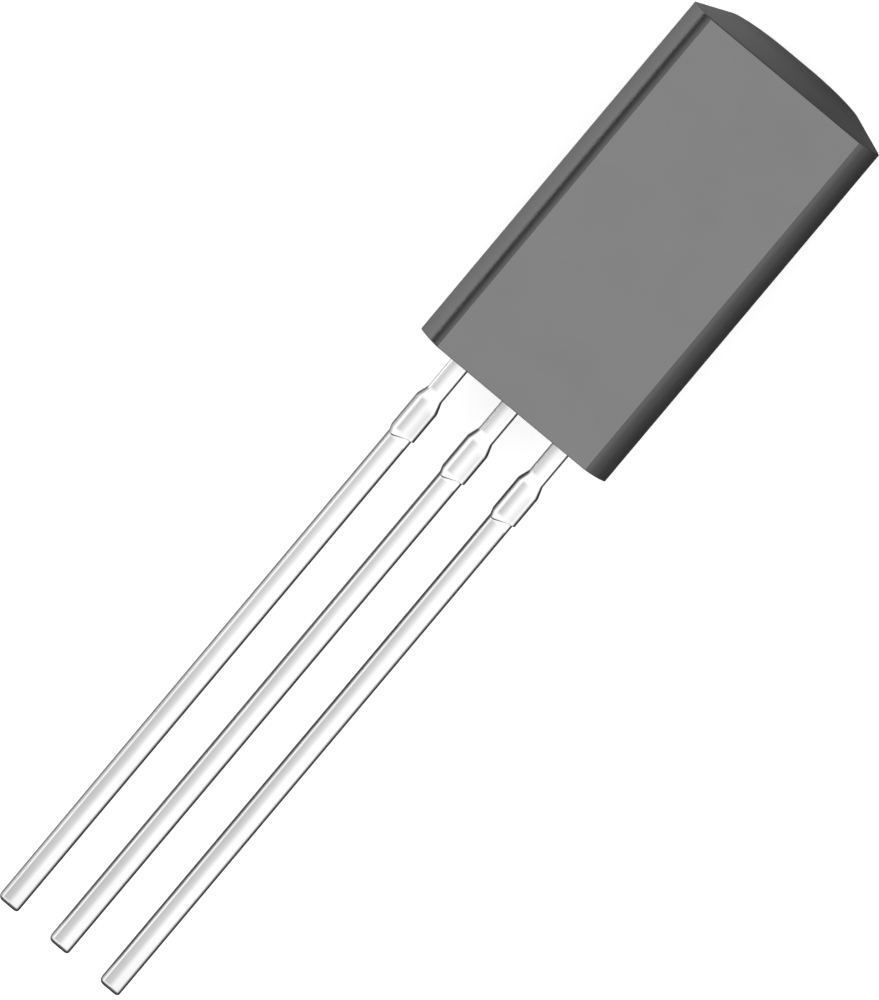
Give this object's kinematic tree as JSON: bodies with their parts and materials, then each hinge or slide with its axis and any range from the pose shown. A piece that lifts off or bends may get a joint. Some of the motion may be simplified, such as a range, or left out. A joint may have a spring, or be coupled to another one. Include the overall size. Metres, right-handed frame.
{
  "type": "long-body to-92 transistor",
  "caption": "Small moulded through-hole transistor with a flat face, a rounded back and in-line tinned leads, lying on its back.",
  "frame": {"origin": "middle of the part's length and width, on the surface that its rounded back rests on", "axes": "+Z out of the flat marking face, +Y along the body towards its closed end, +X across the row of leads from the first to the third"},
  "size_m": [0.0046, 0.0222, 0.0038],
  "materials": {
    "moulding": "fine matt epoxy moulding, grey",
    "tinned_lead": "bright tin plating on stamped strip",
    "silicon": "polished silicon chip with metal contact areas",
    "solder": "dull soft solder",
    "bond_wire": "bright gold wire"
  },
  "bodies": {
    "root": {"body": "moulding", "emitter_lead": "tinned_lead", "collector_lead": "tinned_lead", "base_lead": "tinned_lead", "die": "silicon", "die_solder": "solder", "emitter_wire": "bond_wire", "base_wire": "bond_wire"}
  },
  "joints": []
}
